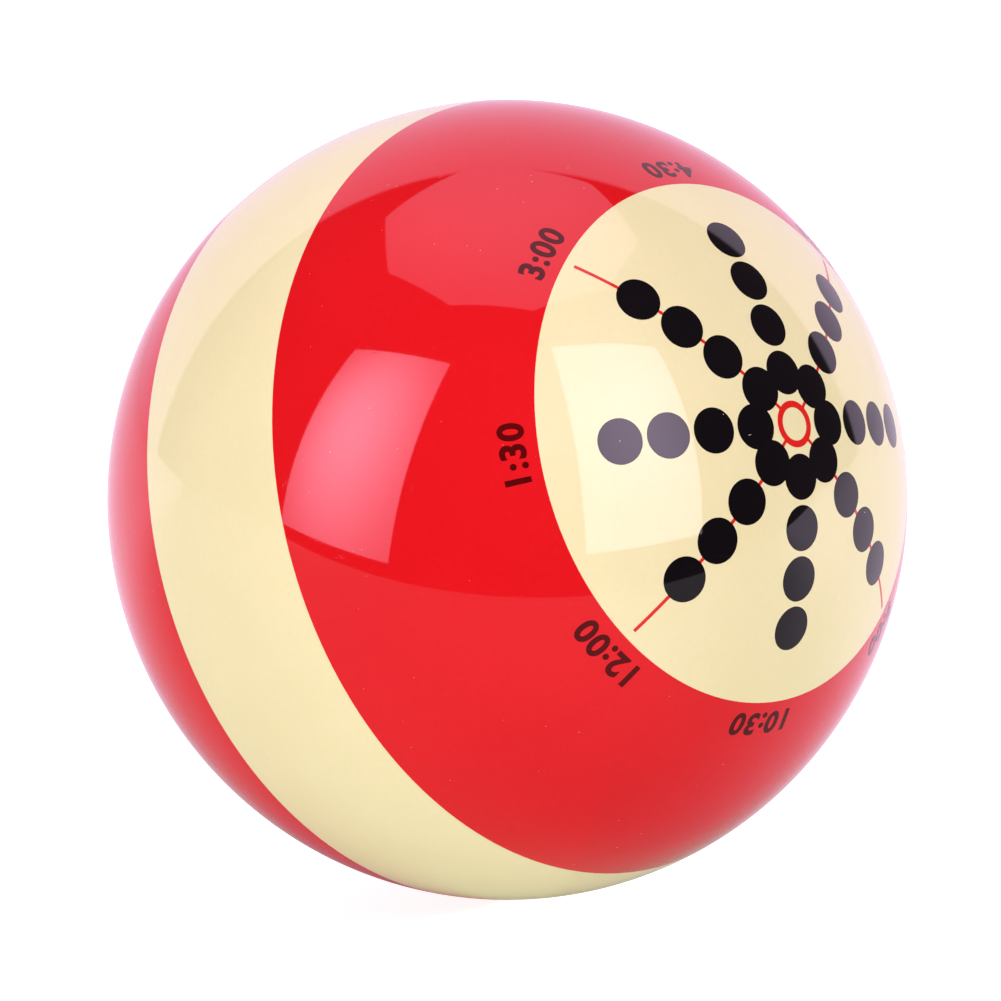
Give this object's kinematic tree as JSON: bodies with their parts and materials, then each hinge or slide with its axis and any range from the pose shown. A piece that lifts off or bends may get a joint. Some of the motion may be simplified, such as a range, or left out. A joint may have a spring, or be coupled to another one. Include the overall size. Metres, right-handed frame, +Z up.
{
  "type": "practice cue ball",
  "caption": "Solid resin cue ball for practice, cream with two red zones and a stripe, and a round target of black dots and fine red aiming lines on each side.",
  "frame": {"origin": "centre of the ball", "axes": "+Z up as the ball lies on the cloth; the front target looks along -Y and is tipped up 20 degrees from it; X runs across the target and lies in the plane of the stripe"},
  "size_m": [0.057, 0.0572, 0.0572],
  "materials": {
    "cream_resin": "polished cast cream resin, high gloss",
    "red_resin": "polished cast red resin, high gloss",
    "black_inlay": "polished black inlay, flush with the surface",
    "core_resin": "unpolished filled resin, hidden inside"
  },
  "bodies": {
    "root": {"core": "core_resin", "front_aiming_mark": "red_resin", "front_dot_0_1": "black_inlay", "front_dot_0_2": "black_inlay", "front_dot_0_3": "black_inlay", "front_dot_1_1": "black_inlay", "front_dot_1_2": "black_inlay", "front_dot_1_3": "black_inlay", "front_dot_2_1": "black_inlay", "front_dot_2_2": "black_inlay", "front_dot_2_3": "black_inlay", "front_dot_3_1": "black_inlay", "front_dot_3_2": "black_inlay", "front_dot_3_3": "black_inlay", "front_dot_4_1": "black_inlay", "front_dot_4_2": "black_inlay", "front_dot_4_3": "black_inlay", "front_dot_5_1": "black_inlay", "front_dot_5_2": "black_inlay", "front_dot_5_3": "black_inlay", "front_dot_6_1": "black_inlay", "front_dot_6_2": "black_inlay", "front_dot_6_3": "black_inlay", "front_dot_7_1": "black_inlay", "front_dot_7_2": "black_inlay", "front_dot_7_3": "black_inlay", "front_dot_wreath": "black_inlay", "front_red_zone": "red_resin", "front_target_cap": "cream_resin", "rear_aiming_mark": "red_resin", "rear_dot_0_1": "black_inlay", "rear_dot_0_2": "black_inlay", "rear_dot_0_3": "black_inlay", "rear_dot_1_1": "black_inlay", "rear_dot_1_2": "black_inlay", "rear_dot_1_3": "black_inlay", "rear_dot_2_1": "black_inlay", "rear_dot_2_2": "black_inlay", "rear_dot_2_3": "black_inlay", "rear_dot_3_1": "black_inlay", "rear_dot_3_2": "black_inlay", "rear_dot_3_3": "black_inlay", "rear_dot_4_1": "black_inlay", "rear_dot_4_2": "black_inlay", "rear_dot_4_3": "black_inlay", "rear_dot_5_1": "black_inlay", "rear_dot_5_2": "black_inlay", "rear_dot_5_3": "black_inlay", "rear_dot_6_1": "black_inlay", "rear_dot_6_2": "black_inlay", "rear_dot_6_3": "black_inlay", "rear_dot_7_1": "black_inlay", "rear_dot_7_2": "black_inlay", "rear_dot_7_3": "black_inlay", "rear_dot_wreath": "black_inlay", "rear_red_zone": "red_resin", "rear_target_cap": "cream_resin", "stripe_ring": "cream_resin"}
  },
  "joints": []
}
